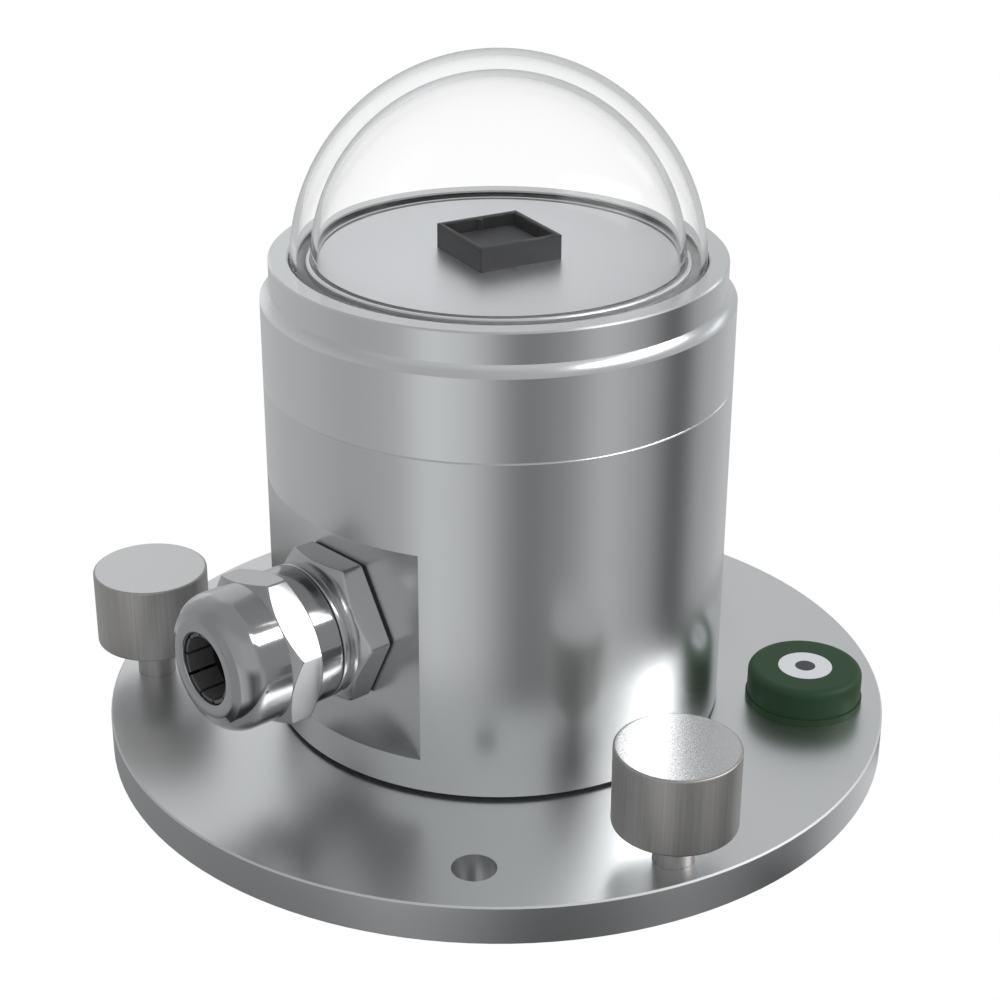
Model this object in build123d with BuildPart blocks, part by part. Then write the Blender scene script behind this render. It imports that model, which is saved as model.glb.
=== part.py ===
from build123d import *
import math
import os

os.makedirs("parts", exist_ok=True)

# All sizes are millimetres. Heights are measured up from the underside of the base plate,
# stations along the gland are measured out from the body's axis.

# Base plate
BASE_BRIM = 21.3
BASE_T = 5.0
BASE_EDGE = 0.2
MOUNT_HOLE_D = 5.3
MOUNT_HOLE_INSET = 7.5
COUNTERSINK_ANGLE = 90.0
HEX_SIDES = 6

# Levelling screws
SCREW_COUNT = 3
SCREW_INSET = 4.93
SCREW_START = 60.0
KNOB_D = 14.6
KNOB_H = 9.85
KNOB_LIFT = 5.07
KNOB_EDGE = 0.25
STUD_D = 4.84
STUD_FIT = 0.08
FOOT_D = 6.8
FOOT_H = 1.7
FOOT_INSET = 0.2
FOOT_GAP = 0.3
FOOT_SIDE_GAP = 0.4
PIVOT_D = 2.3
PIVOT_LENGTH = 1.0
PIVOT_FIT = 0.08

# Bullseye level
LEVEL_SHIFT = 0.55
LEVEL_AZIMUTH = -2.8
LEVEL_D = 14.58
LEVEL_H = 4.8
LEVEL_FLANGE_D = 14.92
LEVEL_FLANGE_H = 0.93
LEVEL_EDGE = 1.0
LEVEL_WALL = 1.5
LEVEL_ROOF = 0.9
TARGET_D = 6.9
TARGET_T = 0.55
TARGET_DROP = 0.05
EYE_D = 2.5
VIAL_FIT = 0.05

# Housing
GASKET_T = 0.5
GASKET_SETBACK = 0.4
HOUSING_H = 43.4
HOUSING_WALL = 7.2
SEAM_BREAK = 0.12
HOUSING_SCREW_COUNT = 4
HOUSING_SCREW_D = 4.0
HOUSING_SCREW_HEAD_D = 7.5
HOUSING_SCREW_INSET = 0.15
HOUSING_SCREW_BITE = 10.5
HOUSING_SCREW_SOCKET = 2.5
HOUSING_SCREW_SOCKET_DEPTH = 1.2
SCREW_FIT = 0.1
TAP_RUNOUT = 1.5

# Collar with its raised ring
COLLAR_H = 10.1
SHOULDER_H = 1.25
SHOULDER_HOLLOW = 0.1
SHOULDER_W = 1.15
RING_WALL = 2.45
RING_H = 3.75
RING_EDGE = 0.2
LEDGE_W = 1.55
SPIGOT_WALL = 1.5
SPIGOT_LENGTH = 3.5
THREAD_FIT = 0.1
ORING_CORD = 1.3
ORING_SQUEEZE = 0.2
ORING_FIT = 0.06

# Glass domes
OUTER_DOME_D = 50.0
OUTER_GLASS = 0.8
INNER_DOME_INSET = 0.5
INNER_GLASS = 0.8
LEDGE_DROP = 1.4
BOND_T = 0.15
GLASS_FIT = 0.05
DOME_FIT = 0.1

# Sensor carrier
CARRIER_GAP = 0.4
CARRIER_WALL = 3.5
CARRIER_TOP_T = 4.5
CARRIER_DROP = 0.2
CARRIER_EDGE = 0.15
FLANGE_T = 2.0
FLANGE_FIT = 0.3
GROOVE_DEPTH = 1.2

# Detector and what stands below it
DETECTOR_TURN = 32.65
FRAME_SIDE = 11.0
FRAME_H = 3.0
FRAME_WALL = 0.65
FRAME_EDGE = 0.15
NIB_D = 0.9
PANE_DROP = 1.3
PANE_T = 0.4
PANE_GAP = 0.7
PANE_OVERHANG = 0.35
THERMOPILE_GAP = 0.3
HEAT_SINK_D = 21.0
HEAT_SINK_T = 5.5
SINK_SCREW_COUNT = 3
SINK_SCREW_INSET = 2.2
SINK_SCREW_D = 2.5
SINK_SCREW_HEAD_D = 4.5
SINK_SCREW_HEAD_H = 2.5
SINK_SCREW_BITE = 3.0

# Circuit board on its pillars
PILLAR_COUNT = 3
PILLAR_INSET = 4.0
PILLAR_H = 30.0
PILLAR_FLATS = 5.0
PILLAR_STUD_LENGTH = 3.3
BOARD_GAP = 1.0
BOARD_T = 1.6
BOARD_SLOT_W = 8.0
BOARD_SLOT_DEPTH = 4.0
BOARD_SCREW_D = 3.0
BOARD_SCREW_HEAD_D = 5.5
BOARD_SCREW_HEAD_H = 2.0
BOARD_SCREW_LENGTH = 6.0
TERMINAL_WAYS = 4
TERMINAL_PITCH = 3.5
TERMINAL_DEPTH = 7.0
TERMINAL_H = 9.0
TERMINAL_SETBACK = 2.0
TERMINAL_HOLE_D = 2.2
TERMINAL_HOLE_Z = 3.0
TERMINAL_SCREW_D = 2.6
TERMINAL_SCREW_LENGTH = 3.0
TERMINAL_SCREW_DROP = 0.5
CHIP_LENGTH = 9.9
CHIP_W = 6.0
CHIP_T = 1.7
CHIP_SHIFT = 2.5
CAPACITOR_D = 6.3
CAPACITOR_H = 7.0
CAPACITOR_PLACES = ((9.0, 2.5), (5.0, 9.5))
LEAD_D = 1.0
LEAD_PITCH = 4.0
LEAD_HOLE_D = 1.6
LEAD_SHIFT = 9.0
LEAD_DROP = 5.0
LEAD_BEND = 4.0

# Cable gland
GLAND_AZIMUTH = -136.0
GLAND_Z = 23.0
FLAT_CUT = 4.1
POCKET_ABOVE = 13.85
POCKET_BELOW = 13.3
GLAND_GASKET_T = 0.5
GLAND_GASKET_CORNER = 1.6
HEX_LAND = 0.05
BODY_HEX_TURN = 2.7
BODY_HEX_T = 3.3
HEX_CHAMFER = 0.8
NECK_T = 1.3
NECK_DEPTH = 0.35
LIP_T = 0.9
GLAND_SEAM = 0.15
GLAND_THREAD_STEP = 0.5
GLAND_THREAD_LENGTH = 7.0
BORE_STEP = 0.7
NUT_THREAD_D = 14.2
NUT_THREAD_LENGTH = 6.9
NUT_BACK_LENGTH = 3.05
NUT_HEX_TURN = 13.5
NUT_HEX_T = 4.2
NUT_WALL = 1.25
NUT_ROUND_LENGTH = 3.4
NOSE_LENGTH = 3.26
NOSE_FALL = 2.35
MOUTH_STEP = 0.5
MOUTH_LENGTH = 1.3
TURNED_EDGE = 0.15
CONE_LENGTH = 4.3
INSERT_WALL = 0.9
INSERT_DEPTH = 6.1
INSERT_RIM = 0.8
INSERT_FIT = 0.1
INSERT_DROP = 0.45
FINGER_COUNT = 10
FINGER_SLOT = 0.35
FINGER_TURN = 32.5
FINGER_FACE = 3.4
SEAL_WALL = 1.4
SEAL_FIT = 0.05

# Radii worked out from the outer dome outwards and inwards
dome_seat_r = OUTER_DOME_D / 2 + DOME_FIT
ring_r = dome_seat_r + RING_WALL
body_r = ring_r + SHOULDER_W
base_r = body_r + BASE_BRIM
mount_hole_radius = base_r - MOUNT_HOLE_INSET
screw_radius = base_r - SCREW_INSET
level_radius = (body_r + base_r) / 2 + LEVEL_SHIFT
housing_bore_r = body_r - HOUSING_WALL
gland_flat = body_r - FLAT_CUT
collar_bore_r = OUTER_DOME_D / 2 - LEDGE_W
spigot_r = collar_bore_r + SPIGOT_WALL
seat_r = spigot_r + THREAD_FIT
carrier_r = collar_bore_r - CARRIER_GAP
inner_dome_r = carrier_r - INNER_DOME_INSET
board_r = housing_bore_r - BOARD_GAP
pillar_radius = board_r - PILLAR_INSET
sink_screw_radius = HEAT_SINK_D / 2 - SINK_SCREW_INSET
wall_mid_r = (housing_bore_r + body_r) / 2
frame_inner = FRAME_SIDE - 2 * FRAME_WALL
pane_side = frame_inner - 2 * PANE_GAP
thermopile_side = pane_side - 2 * PANE_OVERHANG

# Heights worked out from the sizes above
housing_z = BASE_T + GASKET_T
seam_z = housing_z + HOUSING_H
shoulder_z = seam_z + COLLAR_H
ring_z = shoulder_z + SHOULDER_H
rim_z = ring_z + RING_H
ledge_z = rim_z - LEDGE_DROP
spigot_z = seam_z - SPIGOT_LENGTH
flange_z = spigot_z - FLANGE_T
carrier_z = rim_z - CARRIER_DROP
groove_z = carrier_z - GROOVE_DEPTH
carrier_roof_z = carrier_z - CARRIER_TOP_T
pane_top_z = carrier_z + FRAME_H - PANE_DROP
board_z = BASE_T + PILLAR_H
board_top_z = board_z + BOARD_T
underside = Plane(origin=(0, 0, 0), x_dir=(1, 0, 0), z_dir=(0, 0, -1))

# Base plate, with plain holes for mounting, tapped holes for the levelling screws over recesses
# for their feet, countersunk holes for the housing screws and tapped blind holes for the pillars
stud_hole_r = STUD_D / 2 + STUD_FIT
foot_recess_r = FOOT_D / 2 + FOOT_SIDE_GAP
foot_recess_depth = FOOT_INSET + FOOT_H + FOOT_GAP
housing_hole_r = HOUSING_SCREW_D / 2 + SCREW_FIT
countersink_r = HOUSING_SCREW_HEAD_D / 2 + HOUSING_SCREW_INSET + SCREW_FIT / 2
pillar_stud_r = BOARD_SCREW_D / 2
pillar_start = GLAND_AZIMUTH + 180 / PILLAR_COUNT
with BuildPart() as base_plate:
    with BuildSketch(Plane.XY):
        Circle(base_r)
    extrude(amount=BASE_T)
    chamfer(base_plate.edges(), BASE_EDGE)
    with PolarLocations(mount_hole_radius, 2, start_angle=90):
        Hole(MOUNT_HOLE_D / 2)
    with Locations(underside):
        with PolarLocations(screw_radius, SCREW_COUNT, start_angle=SCREW_START):
            CounterBoreHole(stud_hole_r, foot_recess_r, foot_recess_depth)
        with PolarLocations(wall_mid_r, HOUSING_SCREW_COUNT):
            CounterSinkHole(housing_hole_r, countersink_r, counter_sink_angle=COUNTERSINK_ANGLE)
    with BuildSketch(Plane.XY.offset(BASE_T)):
        with PolarLocations(pillar_radius, PILLAR_COUNT, start_angle=pillar_start):
            Circle(pillar_stud_r + SCREW_FIT)
    extrude(amount=-PILLAR_STUD_LENGTH - SCREW_FIT, mode=Mode.SUBTRACT)
base_plate.part.label = "base_plate"
export_step(base_plate.part, "parts/base_plate.step")

# Levelling screws: a smooth turned knob in one piece with its stud, which ends in a short pivot
# that the swivel foot turns on
foot_top_z = FOOT_INSET + FOOT_H
knob_z = BASE_T + KNOB_LIFT
screw_places = PolarLocations(screw_radius, SCREW_COUNT, start_angle=SCREW_START, rotate=False)
for number, place in enumerate(screw_places, start=1):
    with BuildPart(Plane(place)) as levelling_screw:
        with BuildSketch(Plane(place).offset(knob_z)):
            Circle(KNOB_D / 2)
        extrude(amount=KNOB_H)
        chamfer(levelling_screw.edges(), KNOB_EDGE)
        with BuildSketch(Plane(place).offset(foot_top_z)):
            Circle(STUD_D / 2)
        extrude(amount=knob_z - foot_top_z)
        with BuildSketch(Plane(place).offset(foot_top_z - PIVOT_LENGTH)):
            Circle(PIVOT_D / 2)
        extrude(amount=PIVOT_LENGTH)
    levelling_screw.part.label = f"levelling_screw_{number}"
    export_step(levelling_screw.part, f"parts/levelling_screw_{number}.step")

    with BuildPart() as levelling_foot:
        with BuildSketch(Plane(place).offset(FOOT_INSET)):
            Circle(FOOT_D / 2)
        extrude(amount=FOOT_H)
        with BuildSketch(Plane(place).offset(foot_top_z)):
            Circle(PIVOT_D / 2 + PIVOT_FIT)
        extrude(amount=-PIVOT_LENGTH - PIVOT_FIT, mode=Mode.SUBTRACT)
    levelling_foot.part.label = f"levelling_foot_{number}"
    export_step(levelling_foot.part, f"parts/levelling_foot_{number}.step")

# Gasket between base plate and housing
with BuildPart() as base_gasket:
    with BuildSketch(Plane.XY.offset(BASE_T)):
        Circle(body_r - GASKET_SETBACK)
        Circle(housing_bore_r, mode=Mode.SUBTRACT)
        with PolarLocations(wall_mid_r, HOUSING_SCREW_COUNT):
            Circle(housing_hole_r, mode=Mode.SUBTRACT)
    extrude(amount=GASKET_T)
base_gasket.part.label = "base_gasket"
export_step(base_gasket.part, "parts/base_gasket.step")

# The gland's own directions: stations run along its axis out of the housing's flat
gland_azimuth = math.radians(GLAND_AZIMUTH)
gland_out = Vector(math.cos(gland_azimuth), math.sin(gland_azimuth), 0)
gland_side = Vector(-math.sin(gland_azimuth), math.cos(gland_azimuth), 0)
gland_centre = Vector(0, 0, GLAND_Z)
gland_axis = Axis(gland_centre, gland_out)
gland_section = Plane(origin=gland_centre, x_dir=gland_out, z_dir=-gland_side)
gland_face = Plane(origin=gland_centre, x_dir=gland_side, z_dir=gland_out)

# Stations along the gland
hex_back = gland_flat + GLAND_GASKET_T
hex_front = hex_back + BODY_HEX_T
lip_back = hex_front + NECK_T
lip_front = lip_back + LIP_T
thread_front = lip_front + NUT_THREAD_LENGTH
nut_back = lip_front + GLAND_SEAM
nut_hex_back = nut_back + NUT_BACK_LENGTH
nut_hex_front = nut_hex_back + NUT_HEX_T
nose_back = nut_hex_front + NUT_ROUND_LENGTH
nut_front = nose_back + NOSE_LENGTH

# Radii round the gland, from its nut's thread
nut_thread_r = NUT_THREAD_D / 2
nut_bore_r = nut_thread_r + THREAD_FIT
nut_round_r = nut_bore_r + NUT_WALL
nose_face_r = nut_round_r - NOSE_FALL
hex_flat_r = nut_round_r + HEX_LAND
hex_corner_r = hex_flat_r / math.cos(math.pi / HEX_SIDES)
gland_thread_r = nut_thread_r + GLAND_THREAD_STEP
insert_outer_r = nut_thread_r - INSERT_WALL
sleeve_r = insert_outer_r - INSERT_WALL
cable_r = sleeve_r - SEAL_WALL
mouth_r = cable_r + MOUTH_STEP

# Housing: a heavy turned tube, counterbored and tapped at the top for the collar, with a groove
# for its seal and a milled flat pocket for the gland
oring_r = (seat_r + body_r) / 2
oring_groove_w = ORING_CORD + ORING_SQUEEZE
oring_groove_depth = ORING_CORD - ORING_SQUEEZE
housing_tap_depth = HOUSING_SCREW_BITE + TAP_RUNOUT
with BuildPart() as housing:
    with BuildSketch(Plane.XY.offset(housing_z)):
        Circle(body_r)
        Circle(housing_bore_r, mode=Mode.SUBTRACT)
    extrude(amount=HOUSING_H)
    top_rim = housing.edges().filter_by(GeomType.CIRCLE).group_by(Axis.Z)[-1].sort_by(SortBy.RADIUS)[-1]
    chamfer(top_rim, SEAM_BREAK)
    with BuildSketch(Plane.XY.offset(seam_z)):
        Circle(seat_r)
    extrude(amount=-SPIGOT_LENGTH - FLANGE_T, mode=Mode.SUBTRACT)
    with BuildSketch(Plane.XY.offset(seam_z)):
        Circle(oring_r + oring_groove_w / 2)
        Circle(oring_r - oring_groove_w / 2, mode=Mode.SUBTRACT)
    extrude(amount=-oring_groove_depth, mode=Mode.SUBTRACT)
    with BuildSketch(Plane.XY.offset(housing_z)):
        with PolarLocations(wall_mid_r, HOUSING_SCREW_COUNT):
            Circle(HOUSING_SCREW_D / 2 + SCREW_FIT / 2)
    extrude(amount=housing_tap_depth, mode=Mode.SUBTRACT)
    with BuildSketch(gland_face.offset(gland_flat)):
        with Locations((0, (POCKET_ABOVE - POCKET_BELOW) / 2)):
            Rectangle(2 * body_r, POCKET_ABOVE + POCKET_BELOW)
    extrude(amount=body_r, mode=Mode.SUBTRACT)
    with BuildSketch(gland_face.offset(gland_flat)):
        Circle(gland_thread_r + THREAD_FIT)
    extrude(amount=-gland_flat, mode=Mode.SUBTRACT)
housing.part.label = "housing"
export_step(housing.part, "parts/housing.step")

# Countersunk housing screws, driven up through the base plate
with BuildPart() as housing_screws:
    head_r = HOUSING_SCREW_HEAD_D / 2
    shank_r = HOUSING_SCREW_D / 2
    head_h = (head_r - shank_r) / math.tan(math.radians(COUNTERSINK_ANGLE / 2))
    with BuildSketch(Plane.XY.offset(HOUSING_SCREW_INSET)):
        with PolarLocations(wall_mid_r, HOUSING_SCREW_COUNT):
            Circle(head_r)
    extrude(amount=head_h, taper=COUNTERSINK_ANGLE / 2)
    with BuildSketch(Plane.XY.offset(HOUSING_SCREW_INSET)):
        with PolarLocations(wall_mid_r, HOUSING_SCREW_COUNT):
            Circle(shank_r)
    extrude(amount=housing_z + HOUSING_SCREW_BITE - HOUSING_SCREW_INSET)
    with BuildSketch(Plane.XY.offset(HOUSING_SCREW_INSET)):
        with PolarLocations(wall_mid_r, HOUSING_SCREW_COUNT):
            RegularPolygon(HOUSING_SCREW_SOCKET / 2, HEX_SIDES, major_radius=False)
    extrude(amount=HOUSING_SCREW_SOCKET_DEPTH, mode=Mode.SUBTRACT)
housing_screws.part.label = "housing_screws"
export_step(housing_screws.part, "parts/housing_screws.step")

# Collar: screwed into the housing by its spigot, with a hollowed shoulder and a raised ring
# whose inner ledge carries the outer dome
shoulder_mid = ((body_r + ring_r) / 2 - SHOULDER_HOLLOW, (shoulder_z + ring_z) / 2 - SHOULDER_HOLLOW)
with BuildPart() as collar:
    with BuildSketch(Plane.XZ):
        with BuildLine():
            Polyline(
                (ring_r, ring_z),
                (ring_r, rim_z - RING_EDGE),
                (ring_r - RING_EDGE, rim_z),
                (dome_seat_r + RING_EDGE, rim_z),
                (dome_seat_r, rim_z - RING_EDGE),
                (dome_seat_r, ledge_z),
                (collar_bore_r, ledge_z),
                (collar_bore_r, spigot_z),
                (spigot_r, spigot_z),
                (spigot_r, seam_z),
                (body_r - SEAM_BREAK, seam_z),
                (body_r, seam_z + SEAM_BREAK),
                (body_r, shoulder_z),
            )
            ThreePointArc((body_r, shoulder_z), shoulder_mid, (ring_r, ring_z))
        make_face()
    revolve(axis=Axis.Z)
collar.part.label = "collar"
export_step(collar.part, "parts/collar.step")

# Seal between collar and housing, squeezed flat into its groove
with BuildPart() as collar_oring:
    with BuildSketch(Plane.XZ):
        with Locations((oring_r, seam_z - oring_groove_depth / 2)):
            Ellipse(oring_groove_w / 2 - ORING_FIT, oring_groove_depth / 2)
    revolve(axis=Axis.Z)
collar_oring.part.label = "collar_oring"
export_step(collar_oring.part, "parts/collar_oring.step")

# Sensor carrier: a turned cup, clamped by its flange under the collar's spigot, whose flat top
# holds the inner dome in a groove and the detector over a square window
groove_outer_r = inner_dome_r + GLASS_FIT
groove_inner_r = inner_dome_r - INNER_GLASS - GLASS_FIT
sink_tap_r = SINK_SCREW_D / 2 + SCREW_FIT / 2
window_side = thermopile_side + 2 * THERMOPILE_GAP
with BuildPart() as sensor_carrier:
    with BuildSketch(Plane.XY.offset(flange_z)):
        Circle(seat_r - FLANGE_FIT)
    extrude(amount=FLANGE_T)
    with BuildSketch(Plane.XY.offset(flange_z)):
        Circle(carrier_r)
    extrude(amount=carrier_z - flange_z)
    chamfer(sensor_carrier.edges().group_by(Axis.Z)[-1], CARRIER_EDGE)
    with BuildSketch(Plane.XY.offset(flange_z)):
        Circle(carrier_r - CARRIER_WALL)
    extrude(amount=carrier_roof_z - flange_z, mode=Mode.SUBTRACT)
    with BuildSketch(Plane.XY.offset(carrier_z)):
        Circle(groove_outer_r)
        Circle(groove_inner_r, mode=Mode.SUBTRACT)
    extrude(amount=-GROOVE_DEPTH, mode=Mode.SUBTRACT)
    with BuildSketch(Plane.XY.offset(carrier_roof_z)):
        Rectangle(window_side, window_side, rotation=DETECTOR_TURN)
    extrude(amount=CARRIER_TOP_T, mode=Mode.SUBTRACT)
    with BuildSketch(Plane.XY.offset(carrier_roof_z)):
        with PolarLocations(sink_screw_radius, SINK_SCREW_COUNT, start_angle=DETECTOR_TURN):
            Circle(sink_tap_r)
    extrude(amount=SINK_SCREW_BITE + SCREW_FIT, mode=Mode.SUBTRACT)
sensor_carrier.part.label = "sensor_carrier"
export_step(sensor_carrier.part, "parts/sensor_carrier.step")

# Bonding rings and glass domes, each dome a half sphere of even wall
for label, dome_r, wall, seat_z in (
    ("outer", OUTER_DOME_D / 2, OUTER_GLASS, ledge_z),
    ("inner", inner_dome_r, INNER_GLASS, groove_z),
):
    with BuildPart() as bond:
        with BuildSketch(Plane.XY.offset(seat_z)):
            Circle(dome_r)
            Circle(dome_r - wall, mode=Mode.SUBTRACT)
        extrude(amount=BOND_T)
    bond.part.label = f"{label}_dome_seal"
    export_step(bond.part, f"parts/{label}_dome_seal.step")

    with BuildPart() as dome:
        with BuildSketch(Plane.XZ):
            with Locations((0, seat_z + BOND_T)):
                Circle(dome_r)
                Circle(dome_r - wall, mode=Mode.SUBTRACT)
                Rectangle(dome_r, dome_r, align=(Align.MIN, Align.MIN), mode=Mode.INTERSECT)
        revolve(axis=Axis.Z)
    dome.part.label = f"{label}_dome"
    export_step(dome.part, f"parts/{label}_dome.step")

# Detector frame: an open square box without a floor, with a small locating nib inside two walls
with BuildPart() as detector_frame:
    with BuildSketch(Plane.XY.offset(carrier_z)):
        Rectangle(FRAME_SIDE, FRAME_SIDE, rotation=DETECTOR_TURN)
        Rectangle(frame_inner, frame_inner, rotation=DETECTOR_TURN, mode=Mode.SUBTRACT)
    extrude(amount=FRAME_H)
    chamfer(detector_frame.edges().group_by(Axis.Z)[-1], FRAME_EDGE)
    chamfer(detector_frame.edges().filter_by(Axis.Z).sort_by(SortBy.DISTANCE)[-4:], FRAME_EDGE)
    with BuildSketch(Plane.XY.offset(carrier_z)):
        with PolarLocations(frame_inner / 2, 2, start_angle=DETECTOR_TURN - 90):
            Circle(NIB_D / 2)
    extrude(amount=FRAME_H - FRAME_EDGE)
detector_frame.part.label = "detector_frame"
export_step(detector_frame.part, "parts/detector_frame.step")

# Absorber: the black coated pane on top of the thermopile, just clear of the frame
with BuildPart() as absorber:
    with BuildSketch(Plane.XY.offset(pane_top_z)):
        Rectangle(pane_side, pane_side, rotation=DETECTOR_TURN)
    extrude(amount=-PANE_T)
absorber.part.label = "absorber"
export_step(absorber.part, "parts/absorber.step")

# Thermopile: the block of junctions that stands on the heat sink and carries the absorber
with BuildPart() as thermopile:
    with BuildSketch(Plane.XY.offset(carrier_roof_z)):
        Rectangle(thermopile_side, thermopile_side, rotation=DETECTOR_TURN)
    extrude(amount=pane_top_z - PANE_T - carrier_roof_z)
thermopile.part.label = "thermopile"
export_step(thermopile.part, "parts/thermopile.step")

# Heat sink: the cold body screwed up against the carrier, with two holes for the leads
sink_z = carrier_roof_z - HEAT_SINK_T
with BuildPart() as heat_sink:
    with BuildSketch(Plane.XY.offset(sink_z)):
        Circle(HEAT_SINK_D / 2)
        with PolarLocations(sink_screw_radius, SINK_SCREW_COUNT, start_angle=DETECTOR_TURN):
            Circle(SINK_SCREW_D / 2 + SCREW_FIT, mode=Mode.SUBTRACT)
        with GridLocations(LEAD_PITCH, 1, 2, 1):
            Circle(LEAD_HOLE_D / 2, mode=Mode.SUBTRACT)
    extrude(amount=HEAT_SINK_T)
heat_sink.part.label = "heat_sink"
export_step(heat_sink.part, "parts/heat_sink.step")

# Heat sink screws
with BuildPart() as heat_sink_screws:
    with BuildSketch(Plane.XY.offset(sink_z)):
        with PolarLocations(sink_screw_radius, SINK_SCREW_COUNT, start_angle=DETECTOR_TURN):
            Circle(SINK_SCREW_HEAD_D / 2)
    extrude(amount=-SINK_SCREW_HEAD_H)
    with BuildSketch(Plane.XY.offset(sink_z)):
        with PolarLocations(sink_screw_radius, SINK_SCREW_COUNT, start_angle=DETECTOR_TURN):
            Circle(SINK_SCREW_D / 2)
    extrude(amount=HEAT_SINK_T + SINK_SCREW_BITE)
heat_sink_screws.part.label = "heat_sink_screws"
export_step(heat_sink_screws.part, "parts/heat_sink_screws.step")

# Two insulated leads, from the thermopile's underside through the heat sink to the board
lead_bend_z = (sink_z + board_top_z) / 2
with BuildPart() as sensor_leads:
    for lead_x in (-LEAD_PITCH / 2, LEAD_PITCH / 2):
        with BuildLine() as lead_path:
            FilletPolyline(
                (lead_x, 0, carrier_roof_z),
                (lead_x, 0, lead_bend_z + LEAD_DROP / 2),
                (lead_x, LEAD_SHIFT, lead_bend_z - LEAD_DROP / 2),
                (lead_x, LEAD_SHIFT, board_top_z),
                radius=LEAD_BEND,
            )
        with BuildSketch(Plane(origin=(lead_x, 0, carrier_roof_z), z_dir=(0, 0, -1))):
            Circle(LEAD_D / 2)
        sweep(path=lead_path.line)
sensor_leads.part.label = "sensor_leads"
export_step(sensor_leads.part, "parts/sensor_leads.step")

# Board pillars: hexagonal, with a stud into the base plate and a tapped top
with BuildPart() as board_pillars:
    with BuildSketch(Plane.XY.offset(BASE_T)):
        with PolarLocations(pillar_radius, PILLAR_COUNT, start_angle=pillar_start):
            RegularPolygon(PILLAR_FLATS / 2, HEX_SIDES, major_radius=False)
    extrude(amount=PILLAR_H)
    with BuildSketch(Plane.XY.offset(BASE_T)):
        with PolarLocations(pillar_radius, PILLAR_COUNT, start_angle=pillar_start):
            Circle(pillar_stud_r)
    extrude(amount=-PILLAR_STUD_LENGTH)
    with BuildSketch(Plane.XY.offset(board_z)):
        with PolarLocations(pillar_radius, PILLAR_COUNT, start_angle=pillar_start):
            Circle(BOARD_SCREW_D / 2 + SCREW_FIT / 2)
    extrude(amount=-BOARD_SCREW_LENGTH, mode=Mode.SUBTRACT)
board_pillars.part.label = "board_pillars"
export_step(board_pillars.part, "parts/board_pillars.step")

# Circuit board, notched towards the gland for the cable's cores
with BuildPart() as circuit_board:
    with BuildSketch(Plane.XY.offset(board_z)):
        Circle(board_r)
        with PolarLocations(board_r, 1, start_angle=GLAND_AZIMUTH):
            Rectangle(2 * BOARD_SLOT_DEPTH, BOARD_SLOT_W, mode=Mode.SUBTRACT)
        with PolarLocations(pillar_radius, PILLAR_COUNT, start_angle=pillar_start):
            Circle(BOARD_SCREW_D / 2 + SCREW_FIT, mode=Mode.SUBTRACT)
    extrude(amount=BOARD_T)
circuit_board.part.label = "circuit_board"
export_step(circuit_board.part, "parts/circuit_board.step")

# Board screws
with BuildPart() as board_screws:
    with BuildSketch(Plane.XY.offset(board_top_z)):
        with PolarLocations(pillar_radius, PILLAR_COUNT, start_angle=pillar_start):
            Circle(BOARD_SCREW_HEAD_D / 2)
    extrude(amount=BOARD_SCREW_HEAD_H)
    with BuildSketch(Plane.XY.offset(board_top_z)):
        with PolarLocations(pillar_radius, PILLAR_COUNT, start_angle=pillar_start):
            Circle(BOARD_SCREW_D / 2)
    extrude(amount=-BOARD_SCREW_LENGTH)
board_screws.part.label = "board_screws"
export_step(board_screws.part, "parts/board_screws.step")

# Terminal block for the cable's cores, with wire entries facing the board's notch
terminal_w = TERMINAL_WAYS * TERMINAL_PITCH
terminal_top_z = board_top_z + TERMINAL_H
terminal_front_radius = board_r - BOARD_SLOT_DEPTH - TERMINAL_SETBACK
terminal_centre = gland_out * (terminal_front_radius - TERMINAL_DEPTH / 2)
terminal_top = Plane(origin=terminal_centre + Vector(0, 0, terminal_top_z), x_dir=gland_side)
terminal_front = Plane(
    origin=gland_out * terminal_front_radius + Vector(0, 0, board_top_z),
    x_dir=gland_side,
    z_dir=gland_out,
)
board_top = Plane(origin=(0, 0, board_top_z), x_dir=gland_side)
with BuildPart() as terminal_block:
    with BuildSketch(terminal_top):
        Rectangle(terminal_w, TERMINAL_DEPTH)
    extrude(amount=-TERMINAL_H)
    with BuildSketch(terminal_front):
        with Locations((0, TERMINAL_HOLE_Z)):
            with GridLocations(TERMINAL_PITCH, 1, TERMINAL_WAYS, 1):
                Circle(TERMINAL_HOLE_D / 2)
    extrude(amount=-TERMINAL_DEPTH / 2, mode=Mode.SUBTRACT)
    with BuildSketch(terminal_top):
        with GridLocations(TERMINAL_PITCH, 1, TERMINAL_WAYS, 1):
            Circle(TERMINAL_SCREW_D / 2 + SCREW_FIT)
    extrude(amount=-TERMINAL_SCREW_DROP - TERMINAL_SCREW_LENGTH, mode=Mode.SUBTRACT)
terminal_block.part.label = "terminal_block"
export_step(terminal_block.part, "parts/terminal_block.step")

# Terminal screws
with BuildPart() as terminal_screws:
    with BuildSketch(terminal_top.offset(-TERMINAL_SCREW_DROP)):
        with GridLocations(TERMINAL_PITCH, 1, TERMINAL_WAYS, 1):
            Circle(TERMINAL_SCREW_D / 2)
    extrude(amount=-TERMINAL_SCREW_LENGTH)
terminal_screws.part.label = "terminal_screws"
export_step(terminal_screws.part, "parts/terminal_screws.step")

# Amplifier chip and the board's capacitors
with BuildPart() as amplifier_chip:
    with BuildSketch(board_top):
        with Locations((0, CHIP_SHIFT)):
            Rectangle(CHIP_LENGTH, CHIP_W)
    extrude(amount=CHIP_T)
amplifier_chip.part.label = "amplifier_chip"
export_step(amplifier_chip.part, "parts/amplifier_chip.step")

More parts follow.
